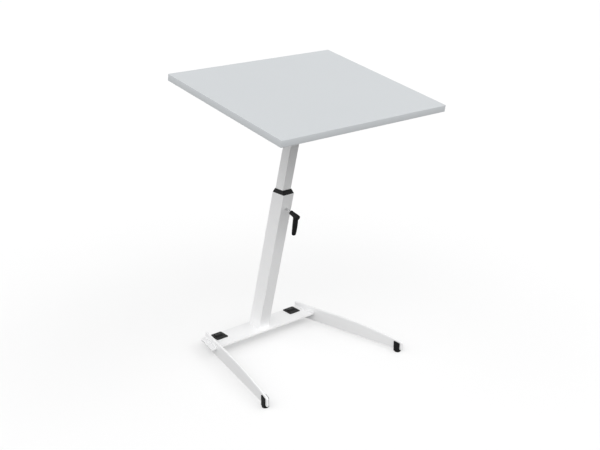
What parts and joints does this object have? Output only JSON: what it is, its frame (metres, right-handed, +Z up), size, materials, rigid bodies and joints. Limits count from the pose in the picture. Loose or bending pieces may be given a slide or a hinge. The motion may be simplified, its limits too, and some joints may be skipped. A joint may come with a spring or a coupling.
{
  "type": "standing desk",
  "caption": "Standing desk: sloping square worktop on a leaning telescopic column with a clamping lever, over a low flat base with splayed legs and rear castors.",
  "frame": {"origin": "on the floor, under the centre of the desk's overall box", "axes": "+X to the right for a person standing at the desk, +Y from that person towards the back, +Z up; the column leans towards the person, and the worktop's back edge is the high one"},
  "size_m": [0.7, 0.6236, 1.0581],
  "materials": {
    "worktop_face": "satin laminate",
    "worktop_edge": "satin edge strip",
    "black_metal": "satin black powder coat",
    "zinc_steel": "zinc plated",
    "bush_nylon": "natural nylon",
    "black_plastic": "fine-grained black",
    "white_powder": "satin white powder coat",
    "cast_alloy": "as cast",
    "bright_steel": "ground and plated",
    "glide_nylon": "black nylon",
    "wheel_nylon": "black nylon",
    "wheel_rubber": "soft tread"
  },
  "bodies": {
    "base": {"outer_tube": "white_powder", "guide_collar": "black_plastic", "gas_spring_rod": "bright_steel", "lower_pin": "bright_steel", "foot_block": "zinc_steel", "column_screws": "zinc_steel", "weld_nut": "zinc_steel", "cross_plate": "white_powder", "leg_left": "white_powder", "glide_shoe_left": "black_plastic", "glide_disc_left": "glide_nylon", "castor_housing_left": "black_plastic", "castor_axle_left": "bright_steel", "leg_right": "white_powder", "glide_shoe_right": "black_plastic", "glide_disc_right": "glide_nylon", "castor_housing_right": "black_plastic", "castor_axle_right": "bright_steel"},
    "mast": {"inner_tube": "white_powder", "lower_guide": "black_plastic", "tilt_head": "cast_alloy", "pivot_bushes": "bush_nylon", "gas_spring_cylinder": "black_metal", "gas_spring_seal": "black_plastic", "upper_pin": "bright_steel"},
    "worktop": {"top_board": "worktop_face", "edge_bands": "worktop_edge", "tilt_bracket": "black_metal", "board_screws": "zinc_steel", "pivot_bolt": "zinc_steel", "friction_washers": "bush_nylon", "knob_washer": "zinc_steel"},
    "tilt_knob": {"tilt_knob": "black_plastic"},
    "lever_stud": {"clamp_stud": "bright_steel", "serrated_insert": "zinc_steel", "retaining_screw": "zinc_steel", "pressure_pad": "bush_nylon"},
    "lever_grip": {"lever_handle": "black_plastic"},
    "castor_wheel_left": {"castor_hub_left": "wheel_nylon", "castor_tyre_left": "wheel_rubber"},
    "castor_wheel_right": {"castor_hub_right": "wheel_nylon", "castor_tyre_right": "wheel_rubber"}
  },
  "joints": [
    {"name": "height", "type": "slide", "parent": "base", "child": "mast", "axis": [0, -0.2588, 0.9659], "range_m": [-0.3, 0.075]},
    {"name": "tilt", "type": "hinge", "parent": "mast", "child": "worktop", "pos_m": [0, 0.02699, 0.96186], "axis": [1, 0, 0], "range_deg": [-10, 5]},
    {"name": "tilt_knob_turn", "type": "hinge", "parent": "worktop", "child": "tilt_knob", "pos_m": [0, 0.02699, 0.96186], "axis": [1, 0, 0], "range_deg": [0, 360]},
    {"name": "lever_turn", "type": "hinge", "parent": "base", "child": "lever_stud", "pos_m": [0, 0.099, 0.5598], "axis": [0, -0.9659, -0.2588], "range_deg": [0, 90]},
    {"name": "lever_pull", "type": "slide", "parent": "lever_stud", "child": "lever_grip", "axis": [0, -0.9659, -0.2588], "range_m": [0, 0.004], "stiffness_N_per_m": 1500, "springref_m": -0.002},
    {"name": "castor_roll_left", "type": "hinge", "parent": "base", "child": "castor_wheel_left", "pos_m": [-0.175, 0.285, 0.02], "axis": [1, 0, 0], "continuous": true},
    {"name": "castor_roll_right", "type": "hinge", "parent": "base", "child": "castor_wheel_right", "pos_m": [0.175, 0.285, 0.02], "axis": [1, 0, 0], "continuous": true}
  ]
}
